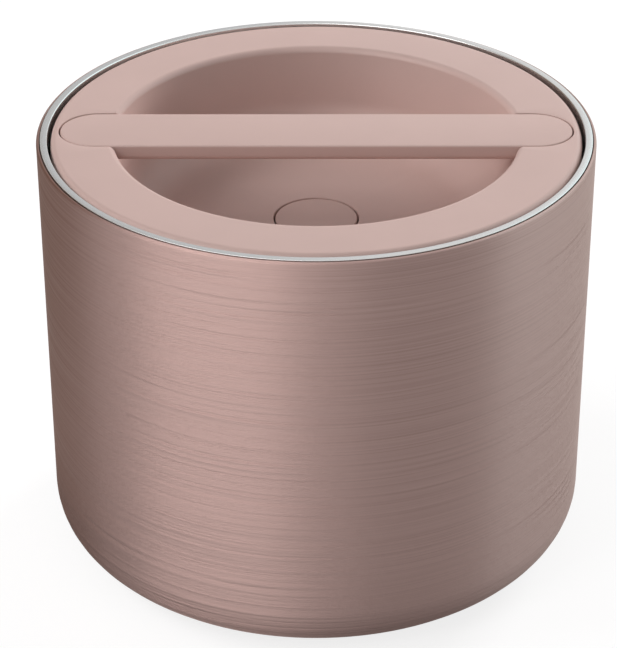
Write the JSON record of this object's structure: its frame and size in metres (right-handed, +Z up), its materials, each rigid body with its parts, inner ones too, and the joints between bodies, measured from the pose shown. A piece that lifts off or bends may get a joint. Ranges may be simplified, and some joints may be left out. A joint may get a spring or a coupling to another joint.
{
  "type": "insulated food jar",
  "caption": "Squat double-wall steel food jar with a flush screw-in plastic lid, finger well, fixed handle bar and vent button.",
  "frame": {"origin": "on the jar's axis, on the surface that the jar stands on", "axes": "+Z up along the jar's axis, X along the handle bar, -Y towards the picture's camera"},
  "size_m": [0.12, 0.12, 0.097],
  "materials": {
    "rose_brushed_steel": "satin",
    "bare_steel": "satin",
    "copper_foil": "polished",
    "getter": "matte",
    "solder_glass": "gloss",
    "silicone": "matte",
    "rose_plastic": "satin",
    "plug_plastic": "satin",
    "foam": "matte"
  },
  "bodies": {
    "jar": {"outer_shell": "rose_brushed_steel", "inner_vessel": "bare_steel", "heat_shield_foil": "copper_foil", "getter_pellet": "getter", "port_seal_bead": "solder_glass", "base_disc": "bare_steel", "foot_pad": "silicone"},
    "seal": {"lid_gasket": "silicone"},
    "lid": {"lid_cover": "rose_plastic", "lid_plug": "plug_plastic", "lid_foam_ring": "foam", "lid_foam_disc": "foam", "handle_bar": "rose_plastic", "handle_screw_left": "bare_steel", "handle_screw_right": "bare_steel", "vent_ring": "silicone", "vent_spring": "bare_steel"},
    "vent": {"vent_button": "rose_plastic", "vent_stem": "bare_steel", "vent_poppet": "silicone", "vent_clip": "bare_steel"}
  },
  "joints": [
    {"name": "lid_rise", "type": "slide", "parent": "jar", "child": "seal", "axis": [0, 0, 1], "range_m": [0, 0.0451]},
    {"name": "lid_turn", "type": "hinge", "parent": "seal", "child": "lid", "pos_m": [0, 0, 0.097], "axis": [0, 0, 1], "range_deg": [0, 1080]},
    {"name": "vent_press", "type": "slide", "parent": "lid", "child": "vent", "axis": [0, 0, -1], "range_m": [0, 0.002], "stiffness_N_per_m": 400, "springref_m": -0.002, "deforming": ["vent_spring"]}
  ],
  "couplings": [
    {"joint": "lid_rise", "follows": "lid_turn", "m_per_rad": 0.0023873}
  ]
}
